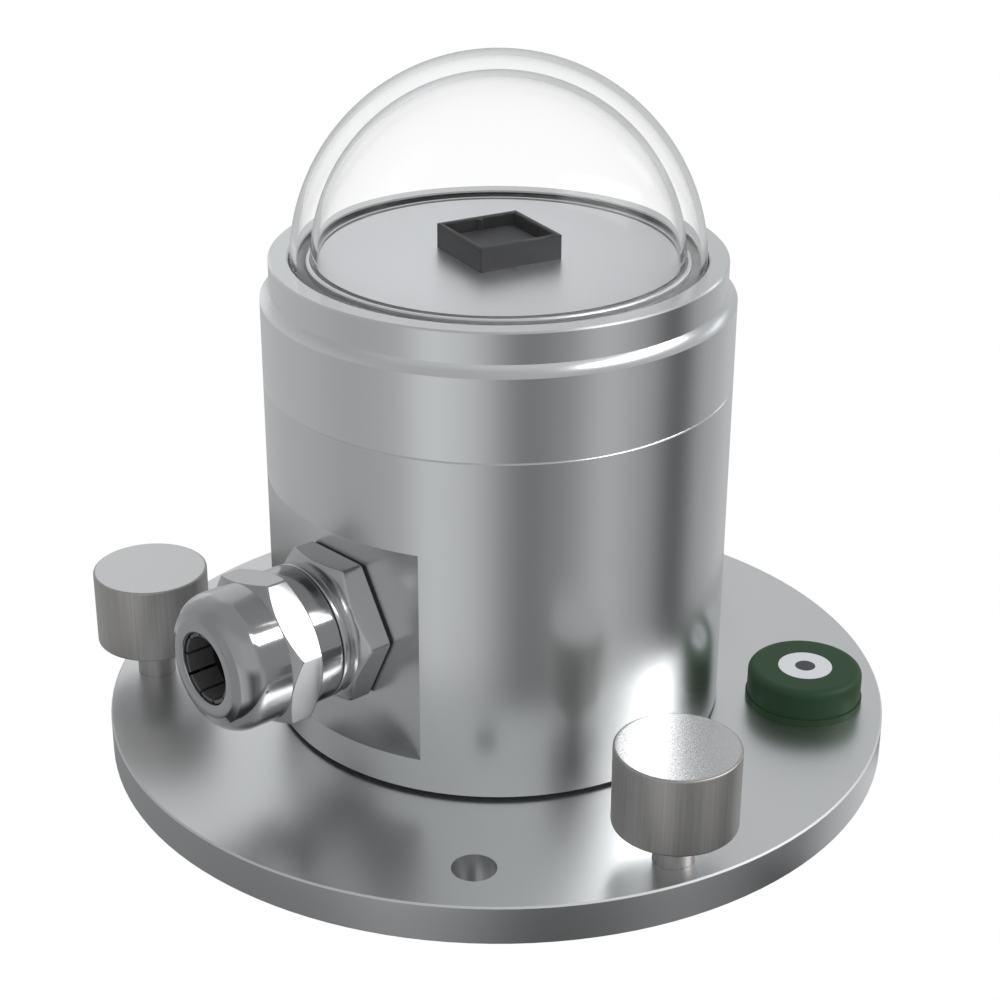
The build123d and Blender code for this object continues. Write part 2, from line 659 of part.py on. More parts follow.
with BuildPart() as board_capacitors:
    with BuildSketch(board_top):
        with Locations(*CAPACITOR_PLACES):
            Circle(CAPACITOR_D / 2)
    extrude(amount=CAPACITOR_H)
board_capacitors.part.label = "board_capacitors"
export_step(board_capacitors.part, "parts/board_capacitors.step")

# Bullseye level: a cup over a sealed vial, whose stepped top carries the target ring and shows
# as the dark eye in the ring's centre
level_azimuth = math.radians(LEVEL_AZIMUTH)
level_x = level_radius * math.cos(level_azimuth)
level_y = level_radius * math.sin(level_azimuth)
level_seat = Plane(origin=(level_x, level_y, BASE_T))
vial_r = LEVEL_D / 2 - LEVEL_WALL - VIAL_FIT
vial_h = LEVEL_H - LEVEL_ROOF - VIAL_FIT
target_r = TARGET_D / 2
target_z = LEVEL_H - TARGET_DROP - TARGET_T
with BuildPart() as level_case:
    with BuildSketch(level_seat):
        Circle(LEVEL_D / 2)
    extrude(amount=LEVEL_H)
    fillet(level_case.edges().group_by(Axis.Z)[-1], LEVEL_EDGE)
    with BuildSketch(level_seat):
        Circle(LEVEL_FLANGE_D / 2)
    extrude(amount=LEVEL_FLANGE_H)
    with BuildSketch(level_seat):
        Circle(vial_r + VIAL_FIT)
    extrude(amount=LEVEL_H - LEVEL_ROOF, mode=Mode.SUBTRACT)
    with BuildSketch(level_seat):
        Circle(target_r + VIAL_FIT)
    extrude(amount=LEVEL_H, mode=Mode.SUBTRACT)
level_case.part.label = "level_case"
export_step(level_case.part, "parts/level_case.step")

with BuildPart() as level_target:
    with BuildSketch(level_seat.offset(target_z)):
        Circle(target_r)
        Circle(EYE_D / 2 + VIAL_FIT, mode=Mode.SUBTRACT)
    extrude(amount=TARGET_T)
level_target.part.label = "level_target"
export_step(level_target.part, "parts/level_target.step")

with BuildPart() as level_vial:
    with BuildSketch(level_seat):
        Circle(vial_r)
    extrude(amount=vial_h)
    with BuildSketch(level_seat):
        Circle(target_r - VIAL_FIT)
    extrude(amount=target_z)
    with BuildSketch(level_seat):
        Circle(EYE_D / 2)
    extrude(amount=target_z + TARGET_T)
level_vial.part.label = "level_vial"
export_step(level_vial.part, "parts/level_vial.step")

# Gland gasket: a rounded hexagon on the flat
with BuildPart() as gland_gasket:
    with BuildSketch(gland_face.offset(gland_flat)) as gasket_sketch:
        RegularPolygon(hex_flat_r, HEX_SIDES, major_radius=False, rotation=BODY_HEX_TURN)
        fillet(gasket_sketch.vertices(), GLAND_GASKET_CORNER)
        Circle(gland_thread_r + THREAD_FIT, mode=Mode.SUBTRACT)
    extrude(amount=GLAND_GASKET_T)
gland_gasket.part.label = "gland_gasket"
export_step(gland_gasket.part, "parts/gland_gasket.step")

# Gland body: a hexagon chamfered on its outer side, a hollow neck and a lip, a thread into the
# housing behind and the nut's thread in front, bored through with a wider seat for the insert
insert_back = thread_front - INSERT_DEPTH
with BuildPart() as gland_body:
    with BuildSketch(gland_face.offset(hex_back)):
        RegularPolygon(hex_flat_r, HEX_SIDES, major_radius=False, rotation=BODY_HEX_TURN)
    extrude(amount=BODY_HEX_T)
    with BuildSketch(gland_section):
        with BuildLine():
            Polyline(
                (hex_back, 0),
                (hex_back, hex_corner_r),
                (hex_front - HEX_CHAMFER, hex_corner_r),
                (hex_front, hex_flat_r),
                (hex_front, 0),
                close=True,
            )
        make_face()
    revolve(axis=gland_axis, mode=Mode.INTERSECT)
    with BuildSketch(gland_section):
        with BuildLine():
            ThreePointArc(
                (hex_front, hex_flat_r),
                ((hex_front + lip_back) / 2, hex_flat_r - NECK_DEPTH),
                (lip_back, hex_flat_r),
            )
            Polyline(
                (lip_back, hex_flat_r),
                (lip_front - TURNED_EDGE, hex_flat_r),
                (lip_front, hex_flat_r - TURNED_EDGE),
                (lip_front, nut_thread_r),
                (thread_front, nut_thread_r),
                (thread_front, 0),
                (gland_flat - GLAND_THREAD_LENGTH, 0),
                (gland_flat - GLAND_THREAD_LENGTH, gland_thread_r),
                (hex_front, gland_thread_r),
                (hex_front, hex_flat_r),
            )
        make_face()
    revolve(axis=gland_axis)
    with BuildSketch(gland_face):
        Circle(sleeve_r - BORE_STEP)
    extrude(amount=thread_front, mode=Mode.SUBTRACT)
    with BuildSketch(gland_face.offset(insert_back)):
        Circle(insert_outer_r + INSERT_FIT)
    extrude(amount=INSERT_DEPTH, mode=Mode.SUBTRACT)
gland_body.part.label = "gland_body"
export_step(gland_body.part, "parts/gland_body.step")

# Gland nut: a round back, a hexagon chamfered on both sides, a round front and a rounded nose,
# threaded inside behind a cone that closes on the mouth
cone_front = nut_front - MOUTH_LENGTH
cone_back = cone_front - CONE_LENGTH
nose_arc_r = (NOSE_FALL**2 + NOSE_LENGTH**2) / (2 * NOSE_FALL)
nose_turn = math.asin(NOSE_LENGTH / nose_arc_r) / 2
nose_mid = (
    nose_back + nose_arc_r * math.sin(nose_turn),
    nut_round_r - nose_arc_r * (1 - math.cos(nose_turn)),
)
with BuildPart() as gland_nut:
    with BuildSketch(gland_face.offset(nut_hex_back)):
        RegularPolygon(hex_flat_r, HEX_SIDES, major_radius=False, rotation=NUT_HEX_TURN)
    extrude(amount=NUT_HEX_T)
    with BuildSketch(gland_section):
        with BuildLine():
            Polyline(
                (nut_hex_back, 0),
                (nut_hex_back, hex_flat_r),
                (nut_hex_back + HEX_CHAMFER, hex_corner_r),
                (nut_hex_front - HEX_CHAMFER, hex_corner_r),
                (nut_hex_front, hex_flat_r),
                (nut_hex_front, 0),
                close=True,
            )
        make_face()
    revolve(axis=gland_axis, mode=Mode.INTERSECT)
    with BuildSketch(gland_section):
        with BuildLine():
            ThreePointArc((nose_back, nut_round_r), nose_mid, (nut_front, nose_face_r))
            Polyline(
                (nut_front, nose_face_r),
                (nut_front, 0),
                (nut_back, 0),
                (nut_back, nut_round_r - TURNED_EDGE),
                (nut_back + TURNED_EDGE, nut_round_r),
                (nose_back, nut_round_r),
            )
        make_face()
    revolve(axis=gland_axis)
    with BuildSketch(gland_section):
        with BuildLine():
            Polyline(
                (nut_back, 0),
                (nut_back, nut_bore_r),
                (cone_back, nut_bore_r),
                (cone_front, mouth_r),
                (nut_front - TURNED_EDGE, mouth_r),
                (nut_front, mouth_r + TURNED_EDGE),
                (nut_front, 0),
                close=True,
            )
        make_face()
    revolve(axis=gland_axis, mode=Mode.SUBTRACT)
gland_nut.part.label = "gland_nut"
export_step(gland_nut.part, "parts/gland_nut.step")

# Clamping insert: a sleeve seated in the body, a rim against the body's front and fingers that
# the nut's cone presses inwards
insert_front = nut_front - INSERT_DROP
finger_back = insert_front - FINGER_FACE
rim_front = thread_front + INSERT_RIM
with BuildPart() as gland_insert:
    with BuildSketch(gland_section):
        with BuildLine():
            Polyline(
                (insert_back, sleeve_r),
                (insert_back, insert_outer_r),
                (thread_front, insert_outer_r),
                (thread_front, nut_bore_r - INSERT_FIT),
                (cone_back, nut_bore_r - INSERT_FIT),
                (cone_front, mouth_r - INSERT_FIT),
                (insert_front, mouth_r - INSERT_FIT),
                (insert_front, cable_r),
                (finger_back, cable_r),
                (finger_back, sleeve_r),
                close=True,
            )
        make_face()
    revolve(axis=gland_axis)
    with BuildSketch(gland_face.offset(rim_front)):
        with PolarLocations((cable_r + nut_bore_r) / 2, FINGER_COUNT, start_angle=FINGER_TURN):
            Rectangle(nut_bore_r, FINGER_SLOT)
    extrude(amount=insert_front - rim_front, mode=Mode.SUBTRACT)
gland_insert.part.label = "gland_insert"
export_step(gland_insert.part, "parts/gland_insert.step")

# Rubber seal inside the insert, bored to the largest cable
with BuildPart() as gland_seal:
    with BuildSketch(gland_face.offset(insert_back)):
        Circle(sleeve_r - SEAL_FIT)
        Circle(cable_r, mode=Mode.SUBTRACT)
    extrude(amount=finger_back - insert_back)
gland_seal.part.label = "gland_seal"
export_step(gland_seal.part, "parts/gland_seal.step")
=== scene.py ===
import math

import bmesh
import bpy
from mathutils import Matrix, Vector


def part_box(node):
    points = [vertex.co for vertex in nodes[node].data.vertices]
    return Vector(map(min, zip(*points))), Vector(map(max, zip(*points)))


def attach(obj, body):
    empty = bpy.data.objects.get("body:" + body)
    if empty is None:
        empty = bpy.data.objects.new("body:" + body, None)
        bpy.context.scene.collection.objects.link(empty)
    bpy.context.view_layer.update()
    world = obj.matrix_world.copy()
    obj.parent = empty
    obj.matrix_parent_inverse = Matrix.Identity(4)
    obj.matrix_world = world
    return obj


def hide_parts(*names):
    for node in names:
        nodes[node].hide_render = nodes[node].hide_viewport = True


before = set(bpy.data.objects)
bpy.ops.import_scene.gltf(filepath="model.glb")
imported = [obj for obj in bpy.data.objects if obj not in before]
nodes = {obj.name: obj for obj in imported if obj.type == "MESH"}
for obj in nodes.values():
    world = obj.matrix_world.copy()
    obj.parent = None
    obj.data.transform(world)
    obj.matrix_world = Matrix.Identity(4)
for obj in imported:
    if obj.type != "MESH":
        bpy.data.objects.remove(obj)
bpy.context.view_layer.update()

scene = bpy.context.scene

# Camera, fitted to the photograph
FOCAL_PIXELS = 2116.6
IMAGE_PIXELS = 1000
SENSOR_MM = 36.0
CAMERA_DISTANCE = 0.24161
CAMERA_HEIGHT = 0.14499
CAMERA_AZIMUTH = math.radians(-86.65)
CAMERA_YAW = math.radians(0.0697)
CAMERA_PITCH = math.radians(25.240)
CAMERA_ROLL = math.radians(-0.287)


def add_camera():
    data = bpy.data.cameras.new("camera")
    data.sensor_width = SENSOR_MM
    data.lens = FOCAL_PIXELS * SENSOR_MM / IMAGE_PIXELS
    data.clip_start = 0.01
    data.clip_end = 20.0
    camera = bpy.data.objects.new("camera", data)
    scene.collection.objects.link(camera)
    forward = Vector(
        (
            math.sin(CAMERA_YAW) * math.cos(CAMERA_PITCH),
            math.cos(CAMERA_YAW) * math.cos(CAMERA_PITCH),
            -math.sin(CAMERA_PITCH),
        )
    )
    level_right = Vector((math.cos(CAMERA_YAW), -math.sin(CAMERA_YAW), 0.0))
    level_down = forward.cross(level_right)
    right = math.cos(CAMERA_ROLL) * level_right + math.sin(CAMERA_ROLL) * level_down
    down = -math.sin(CAMERA_ROLL) * level_right + math.cos(CAMERA_ROLL) * level_down
    turn = Matrix((right, -down, -forward)).transposed().to_4x4()
    place = Matrix.Translation((0.0, -CAMERA_DISTANCE, CAMERA_HEIGHT)) @ turn
    swing = Matrix.Rotation(CAMERA_AZIMUTH + math.pi / 2, 4, "Z")
    camera.matrix_world = swing @ place
    scene.camera = camera


add_camera()


# Helpers that add one shader node each and give back its output
def new_material(name):
    material = bpy.data.materials.new(name)
    material.use_nodes = True
    tree = material.node_tree
    shader = tree.nodes["Principled BSDF"]
    return material, tree, shader


def link(tree, source, target):
    tree.links.new(source, target)


def object_coordinates(tree, scale=(1.0, 1.0, 1.0)):
    coords = tree.nodes.new("ShaderNodeTexCoord")
    mapping = tree.nodes.new("ShaderNodeMapping")
    mapping.inputs["Scale"].default_value = scale
    link(tree, coords.outputs["Object"], mapping.inputs["Vector"])
    return mapping.outputs["Vector"]


def noise(tree, vector, scale, detail=3.0):
    node = tree.nodes.new("ShaderNodeTexNoise")
    node.inputs["Scale"].default_value = scale
    node.inputs["Detail"].default_value = detail
    node.inputs["Roughness"].default_value = NOISE_ROUGHNESS
    link(tree, vector, node.inputs["Vector"])
    return node.outputs["Fac"]


def span(tree, value, low, high):
    node = tree.nodes.new("ShaderNodeMapRange")
    node.inputs["From Min"].default_value = 0.0
    node.inputs["From Max"].default_value = 1.0
    node.inputs["To Min"].default_value = low
    node.inputs["To Max"].default_value = high
    link(tree, value, node.inputs["Value"])
    return node.outputs["Result"]


def colours(tree, value, low, high):
    node = tree.nodes.new("ShaderNodeMix")
    node.data_type = "RGBA"
    node.inputs["A"].default_value = (*low, 1.0)
    node.inputs["B"].default_value = (*high, 1.0)
    link(tree, value, node.inputs["Factor"])
    return node.outputs["Result"]


def step(tree, value, low, high):
    node = tree.nodes.new("ShaderNodeMapRange")
    node.interpolation_type = "SMOOTHSTEP"
    node.inputs["From Min"].default_value = low
    node.inputs["From Max"].default_value = high
    link(tree, value, node.inputs["Value"])
    return node.outputs["Result"]


def tinted(tree, colour, value):
    node = tree.nodes.new("ShaderNodeVectorMath")
    node.operation = "SCALE"
    link(tree, colour, node.inputs[0])
    link(tree, value, node.inputs["Scale"])
    return node.outputs["Vector"]


def bump(tree, height, distance):
    node = tree.nodes.new("ShaderNodeBump")
    node.inputs["Strength"].default_value = 1.0
    node.inputs["Distance"].default_value = distance
    link(tree, height, node.inputs["Height"])
    return node.outputs["Normal"]


def maths(tree, operation, first, second):
    node = tree.nodes.new("ShaderNodeMath")
    node.operation = operation
    for source, socket in zip((first, second), node.inputs):
        if isinstance(source, float):
            socket.default_value = source
        else:
            link(tree, source, socket)
    return node.outputs[0]


# Materials: each has a fine grain that varies roughness and relief, and metal a broad shade as well
NOISE_ROUGHNESS = 0.6
METAL_GRAIN = 9000.0
BROAD_GRAIN = 60.0
BROAD_SWING = 0.02
EVEN = (1.0, 1.0, 1.0)
UP_THE_SIDE = (1.0, 1.0, 0.015)
SOLID_GRAIN = 900.0
SOLID_RISE = 4e-6
SOLID_SWING = 0.05


def metal(name, colour, roughness, grain=EVEN, scale=METAL_GRAIN, swing=0.03, rise=1.2e-7, streak=0.02):
    material, tree, shader = new_material(name)
    shader.inputs["Metallic"].default_value = 1.0
    fine = noise(tree, object_coordinates(tree, grain), scale)
    broad = noise(tree, object_coordinates(tree), BROAD_GRAIN, 2.0)
    darker = [c * (1 - BROAD_SWING) for c in colour]
    paler = [min(1.0, c * (1 + BROAD_SWING)) for c in colour]
    shade = colours(tree, broad, darker, paler)
    line = span(tree, fine, 1.0 - streak, 1.0 + streak)
    link(tree, tinted(tree, shade, line), shader.inputs["Base Color"])
    link(tree, span(tree, fine, roughness - swing, roughness + swing), shader.inputs["Roughness"])
    link(tree, bump(tree, fine, rise), shader.inputs["Normal"])
    return material


def solid(name, low, high, roughness):
    material, tree, shader = new_material(name)
    grain = noise(tree, object_coordinates(tree), SOLID_GRAIN)
    link(tree, colours(tree, grain, low, high), shader.inputs["Base Color"])
    varied = span(tree, grain, roughness - SOLID_SWING, roughness + SOLID_SWING)
    link(tree, varied, shader.inputs["Roughness"])
    link(tree, bump(tree, grain, SOLID_RISE), shader.inputs["Normal"])
    return material


def dress(node, material):
    data = nodes[node].data
    data.materials.clear()
    data.materials.append(material)


base_metal = metal("base_metal", (0.77, 0.78, 0.785), 0.31, rise=1.6e-7)
housing_metal = metal("housing_metal", (0.74, 0.75, 0.755), 0.25)
collar_metal = metal("collar_metal", (0.79, 0.8, 0.805), 0.25)
plate_metal = metal("plate_metal", (0.95, 0.96, 0.975), 0.38)
knob_side = metal(
    "knob_side",
    (0.5, 0.485, 0.475),
    0.45,
    grain=UP_THE_SIDE,
    scale=5000.0,
    swing=0.08,
    rise=1.2e-6,
    streak=0.3,
)
knob_top = metal("knob_top", (0.68, 0.68, 0.68), 0.26, scale=5000.0, swing=0.08, rise=6.0e-7, streak=0.1)
nickel = metal("nickel", (0.46, 0.46, 0.465), 0.11, scale=4000.0, swing=0.02, rise=4e-8, streak=0.01)
nickel_pale = metal(
    "nickel_pale", (0.56, 0.56, 0.565), 0.22, scale=4000.0, swing=0.02, rise=4e-8, streak=0.01
)
steel = metal("steel", (0.6, 0.6, 0.6), 0.25)
brass = metal("brass", (0.72, 0.55, 0.25), 0.25)
rubber = solid("rubber", (0.02, 0.02, 0.02), (0.03, 0.03, 0.03), 0.6)
bond = solid("bond", (0.5, 0.5, 0.5), (0.56, 0.56, 0.56), 0.5)
detector = solid("detector", (0.041, 0.041, 0.043), (0.05, 0.05, 0.052), 0.45)
pane = solid("pane", (0.038, 0.038, 0.042), (0.046, 0.046, 0.05), 0.5)
insert_plastic = solid("insert_plastic", (0.12, 0.12, 0.12), (0.14, 0.14, 0.14), 0.4)
nylon = solid("nylon", (0.7, 0.69, 0.64), (0.75, 0.74, 0.69), 0.45)
green = solid("level_green", (0.027, 0.07, 0.031), (0.032, 0.081, 0.036), 0.5)
green.node_tree.nodes["Principled BSDF"].inputs["Specular IOR Level"].default_value = 0.25
white = solid("level_white", (0.88, 0.9, 0.94), (0.9, 0.92, 0.96), 0.4)
eye = solid("level_eye", (0.035, 0.042, 0.045), (0.045, 0.052, 0.055), 0.2)
board = solid("board", (0.02, 0.12, 0.05), (0.025, 0.14, 0.06), 0.4)
chip = solid("chip", (0.02, 0.02, 0.02), (0.03, 0.03, 0.03), 0.5)
sleeve = solid("sleeve", (0.05, 0.08, 0.25), (0.06, 0.1, 0.3), 0.35)
terminal = solid("terminal", (0.05, 0.25, 0.1), (0.06, 0.28, 0.12), 0.5)
lead = solid("lead", (0.4, 0.03, 0.02), (0.45, 0.04, 0.03), 0.4)

# Lower than real glass, so that the domes bend and mirror as little as those in the photograph
GLASS_IOR = 1.13


def make_glass():
    material, tree, shader = new_material("dome_glass")
    shader.inputs["Base Color"].default_value = (1.0, 1.0, 1.0, 1.0)
    shader.inputs["Roughness"].default_value = 0.0
    shader.inputs["IOR"].default_value = GLASS_IOR
    shader.inputs["Transmission Weight"].default_value = 1.0
    return material


glass = make_glass()

DRESS = {
    "base_plate": base_metal,
    "base_gasket": rubber,
    "housing": housing_metal,
    "housing_screws": steel,
    "collar": collar_metal,
    "collar_oring": rubber,
    "sensor_carrier": plate_metal,
    "outer_dome": glass,
    "inner_dome": glass,
    "outer_dome_seal": bond,
    "inner_dome_seal": bond,
    "detector_frame": detector,
    "absorber": pane,
    "thermopile": chip,
    "heat_sink": plate_metal,
    "heat_sink_screws": steel,
    "sensor_leads": lead,
    "circuit_board": board,
    "amplifier_chip": chip,
    "board_capacitors": sleeve,
    "terminal_block": terminal,
    "terminal_screws": steel,
    "board_pillars": brass,
    "board_screws": steel,
    "gland_gasket": rubber,
    "gland_body": nickel,
    "gland_nut": nickel,
    "gland_insert": insert_plastic,
    "gland_seal": rubber,
    "level_case": green,
    "level_target": white,
    "level_vial": eye,
    "levelling_screw_1": knob_side,
    "levelling_screw_2": knob_side,
    "levelling_screw_3": knob_side,
    "levelling_foot_1": nylon,
    "levelling_foot_2": nylon,
    "levelling_foot_3": nylon,
}


# A broken edge is rougher than the faces that it joins. A face counts as an edge when the upward part
# of its normal is neither near 0, as on a side, nor near 1, as on a top
EDGE_ROUGHNESS = 0.3
SIDE_END = (0.05, 0.15)
TOP_START = (0.98, 0.9)


def roughen_edges(material):
    tree = material.node_tree
    shader = tree.nodes["Principled BSDF"]
    plain = shader.inputs["Roughness"].links[0].from_socket
    facing = tree.nodes.new("ShaderNodeNewGeometry")
    split = tree.nodes.new("ShaderNodeSeparateXYZ")
    link(tree, facing.outputs["True Normal"], split.inputs["Vector"])
    off_side = step(tree, split.outputs["Z"], *SIDE_END)
    off_top = step(tree, split.outputs["Z"], *TOP_START)
    edge = maths(tree, "MULTIPLY", off_side, off_top)
    rougher = maths(tree, "ADD", maths(tree, "MULTIPLY", edge, EDGE_ROUGHNESS), plain)
    link(tree, rougher, shader.inputs["Roughness"])


roughen_edges(base_metal)
for node, material in DRESS.items():
    dress(node, material)


# Fine turned pieces. A profile is a list of (station, radius) in millimetres along an axis, and a
# radius may be a function of the angle round it
MM = 0.001
MERGE_DISTANCE = 1e-7
SHARP_ANGLE = math.radians(35.0)
FACING_SIDE = 0.3


def arc(centre, radius, start, end, count):
    points = []
    for i in range(count + 1):
        a = math.radians(start + (end - start) * i / count)
        points.append((centre[0] + radius * math.cos(a), centre[1] + radius * math.sin(a)))
    return points


def soft_min(values, blend):
    least = min(values)
    return least - blend * math.log(sum(math.exp((least - value) / blend) for value in values))


def steps(start, end, count):
    return [start + (end - start) * i / count for i in range(count + 1)]


# Radius of a hexagon at an angle, with its corners rounded. Sides that face away are left out
def hexagon(angle, flat, turn, blend):
    sides = []
    for i in range(6):
        lean = math.cos(angle - math.radians(turn + 30.0 + 60.0 * i))
        if lean > FACING_SIDE:
            sides.append(flat / lean)
    return soft_min(sides, blend)


def ring_mesh(name, rows, place, segments, closed, materials, tints=None):
    vertices = []
    for station, radius in rows:
        for j in range(segments):
            angle = 2 * math.pi * j / segments
            reach = radius(angle) if callable(radius) else radius
            vertices.append(place(station * MM, reach * MM, angle))
    faces = []
    kinds = []
    last = len(rows) if closed else len(rows) - 1
    for i in range(last):
        k = (i + 1) % len(rows)
        for j in range(segments):
            n = (j + 1) % segments
            faces.append((i * segments + j, i * segments + n, k * segments + n, k * segments + j))
            kinds.append(tints[i] if tints else 0)
    mesh = bpy.data.meshes.new(name)
    mesh.from_pydata(vertices, [], faces)
    piece = bpy.data.objects.new(name, mesh)
    scene.collection.objects.link(piece)
    for material in materials:
        mesh.materials.append(material)
    mesh.polygons.foreach_set("material_index", kinds)
    shape = bmesh.new()
    shape.from_mesh(mesh)
    bmesh.ops.remove_doubles(shape, verts=shape.verts, dist=MERGE_DISTANCE)
    bmesh.ops.recalc_face_normals(shape, faces=shape.faces)
    shape.to_mesh(mesh)
    shape.free()
    mesh.shade_smooth()
    mesh.set_sharp_from_angle(angle=SHARP_ANGLE)
    return piece


# Cable gland, along its own axis
GLAND_AZIMUTH = math.radians(-136.0)
GLAND_HEIGHT = 0.023
GLAND_FLAT = 24.6
GASKET_FRONT = 24.85
BODY_HEX_FRONT = 28.4
LIP_BACK = 29.7
LIP_FRONT = 30.6
THREAD_FRONT = 37.5
NUT_BACK = 30.75
NUT_HEX_BACK = 33.8
NUT_HEX_FRONT = 38.0
NOSE_BACK = 41.4
NUT_FRONT = 44.66
HEX_FLAT = 8.5
ROUND_R = 8.45
NOSE_R = 6.1
MOUTH_R = 4.4
NUT_BORE_R = 7.2
BODY_THREAD_R = 7.1
BODY_BORE_R = 6.3
HOUSING_THREAD_R = 7.6
THREAD_BACK = 17.6
SLEEVE_R = 4.6
INSERT_BACK = 31.4
NUT_THREAD_END = 35.0
CONE_BACK = 39.06
CONE_FRONT = 43.36
NUT_TURN = 13.5
BODY_TURN = 2.7
CORNER_R = HEX_FLAT / math.cos(math.pi / 6)
CHAMFER_LENGTH = 0.8
CHAMFER_SLOPE = (CORNER_R - HEX_FLAT) / CHAMFER_LENGTH
CHAMFER_BLEND = 0.05
NUT_CORNER_BLEND = 0.035
BODY_CORNER_BLEND = 0.16
NUT_FLAT = HEX_FLAT + 0.04
BODY_FLAT = HEX_FLAT + 0.1
GASKET_FLAT = HEX_FLAT - 0.1
BODY_ROUND_R = HEX_FLAT - 0.2
NUT_EDGE = 0.2
NOSE_LIP = 0.341
BODY_BACK_EDGE = 0.21
BODY_BACK_EDGE_LENGTH = 0.25
NECK_DEPTH = 0.12
NECK_STEPS = 10
LIP_R = HEX_FLAT - 0.1
GLAND_SEGMENTS = 480


def along_gland(station, radius, angle):
    out = Vector((math.cos(GLAND_AZIMUTH), math.sin(GLAND_AZIMUTH), 0.0))
    side = Vector((-math.sin(GLAND_AZIMUTH), math.cos(GLAND_AZIMUTH), 0.0))
    up = Vector((0.0, 0.0, 1.0))
    spot = out * station + side * radius * math.cos(angle) + up * radius * math.sin(angle)
    return spot + Vector((0.0, 0.0, GLAND_HEIGHT))


# A row of a hexagon between its back and front, chamfered where a slope is given
def hex_row(station, back, front, turn, chamfer_back, chamfer_front, flat, corner_blend, base):
    def radius(angle):
        side = hexagon(angle, flat, turn, corner_blend)
        limits = [side]
        if chamfer_back:
            limits.append(flat + (station - back) * chamfer_back)
        if chamfer_front:
            limits.append(flat + (front - station) * chamfer_front)
        return max(base, soft_min(limits, CHAMFER_BLEND))

    return (station, radius)


def add_to_gland(name, rows, segments, material, node):
    piece = ring_mesh(name, rows, along_gland, segments, True, [material])
    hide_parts(node)
    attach(piece, "instrument")


def nut_row(station):
    return hex_row(
        station,
        NUT_HEX_BACK,
        NUT_HEX_FRONT,
        NUT_TURN,
        CHAMFER_SLOPE,
        CHAMFER_SLOPE,
        NUT_FLAT,
        NUT_CORNER_BLEND,
        ROUND_R,
    )


# The nose is an arc that leaves the cylinder without a kink and ends at the nose's radius
def nose_rows():
    fall = ROUND_R - NOSE_R
    length = NUT_FRONT - NOSE_BACK
    bend = (fall**2 + length**2) / (2 * fall)
    sweep = math.degrees(math.asin(length / bend))
    nose = arc((NOSE_BACK, ROUND_R - bend), bend, 90.0, 90.0 - sweep, 28)
    return [point for point in nose if point[0] < NUT_FRONT - NOSE_LIP]


def make_gland_nut():
    rows = [(NUT_BACK, NUT_BORE_R), (NUT_BACK, ROUND_R - NUT_EDGE)]
    rows += arc((NUT_BACK + NUT_EDGE, ROUND_R - NUT_EDGE), NUT_EDGE, 180, 90, 5)
    rows += [(station, ROUND_R) for station in steps(NUT_BACK + 0.4, NUT_HEX_BACK - 0.05, 6)]
    rows += [nut_row(station) for station in steps(NUT_HEX_BACK, NUT_HEX_FRONT, 64)]
    rows += [(station, ROUND_R) for station in steps(NUT_HEX_FRONT + 0.05, NOSE_BACK - 0.4, 6)]
    rows += nose_rows()
    rows += [
        (NUT_FRONT - 0.2, NOSE_R + 0.12),
        (NUT_FRONT - 0.09, NOSE_R - 0.02),
        (NUT_FRONT - 0.03, NOSE_R - 0.2),
        (NUT_FRONT, NOSE_R - 0.42),
        (NUT_FRONT, MOUTH_R + 0.3),
        (NUT_FRONT - 0.04, MOUTH_R + 0.14),
        (NUT_FRONT - 0.12, MOUTH_R + 0.04),
        (NUT_FRONT - 0.25, MOUTH_R),
        (CONE_FRONT, MOUTH_R),
        (CONE_BACK, NUT_BORE_R),
        (NUT_THREAD_END, NUT_BORE_R),
    ]
    add_to_gland("gland_nut_fine", rows, GLAND_SEGMENTS, nickel, "gland_nut")


def body_row(station):
    left = 1 - min(1.0, (station - GASKET_FRONT) / BODY_BACK_EDGE_LENGTH)
    flat = BODY_FLAT - BODY_BACK_EDGE * left**2
    return hex_row(
        station,
        GASKET_FRONT,
        BODY_HEX_FRONT,
        BODY_TURN,
        0.0,
        CHAMFER_SLOPE,
        flat,
        BODY_CORNER_BLEND,
        BODY_ROUND_R,
    )


def make_gland_body():
    rows = [(THREAD_BACK, SLEEVE_R), (THREAD_BACK, HOUSING_THREAD_R), (GASKET_FRONT, HOUSING_THREAD_R)]
    rows += [body_row(station) for station in steps(GASKET_FRONT, BODY_HEX_FRONT, 50)]
    neck = LIP_BACK - BODY_HEX_FRONT
    for i in range(1, NECK_STEPS):
        share = i / NECK_STEPS
        rows.append((BODY_HEX_FRONT + neck * share, BODY_ROUND_R - NECK_DEPTH * math.sin(math.pi * share)))
    rows += [
        (LIP_BACK, LIP_R - 0.07),
        (LIP_BACK + 0.1, LIP_R - 0.03),
        (LIP_BACK + 0.2, LIP_R),
        (LIP_FRONT - 0.18, LIP_R),
        (LIP_FRONT - 0.06, LIP_R - 0.04),
        (LIP_FRONT, LIP_R - 0.14),
        (LIP_FRONT, BODY_THREAD_R),
        (THREAD_FRONT, BODY_THREAD_R),
        (THREAD_FRONT, BODY_BORE_R),
        (INSERT_BACK, BODY_BORE_R),
        (INSERT_BACK, SLEEVE_R),
    ]
    add_to_gland("gland_body_fine", rows, GLAND_SEGMENTS, nickel_pale, "gland_body")


def make_gland_gasket():
    def edge(angle):
        return hexagon(angle, GASKET_FLAT, BODY_TURN, BODY_CORNER_BLEND)

    rows = [(GLAND_FLAT, HOUSING_THREAD_R), (GLAND_FLAT, edge)]
    rows += [(GASKET_FRONT, edge), (GASKET_FRONT, HOUSING_THREAD_R)]
    add_to_gland("gland_gasket_fine", rows, 240, rubber, "gland_gasket")


make_gland_nut()
make_gland_body()
make_gland_gasket()

# Glass domes, standing on their own feet
DOME_FOOT = 62.75
OUTER_DOME_R = 25.0
INNER_DOME_R = 22.55
DOME_WALL = 0.8
DOME_STEPS = 72


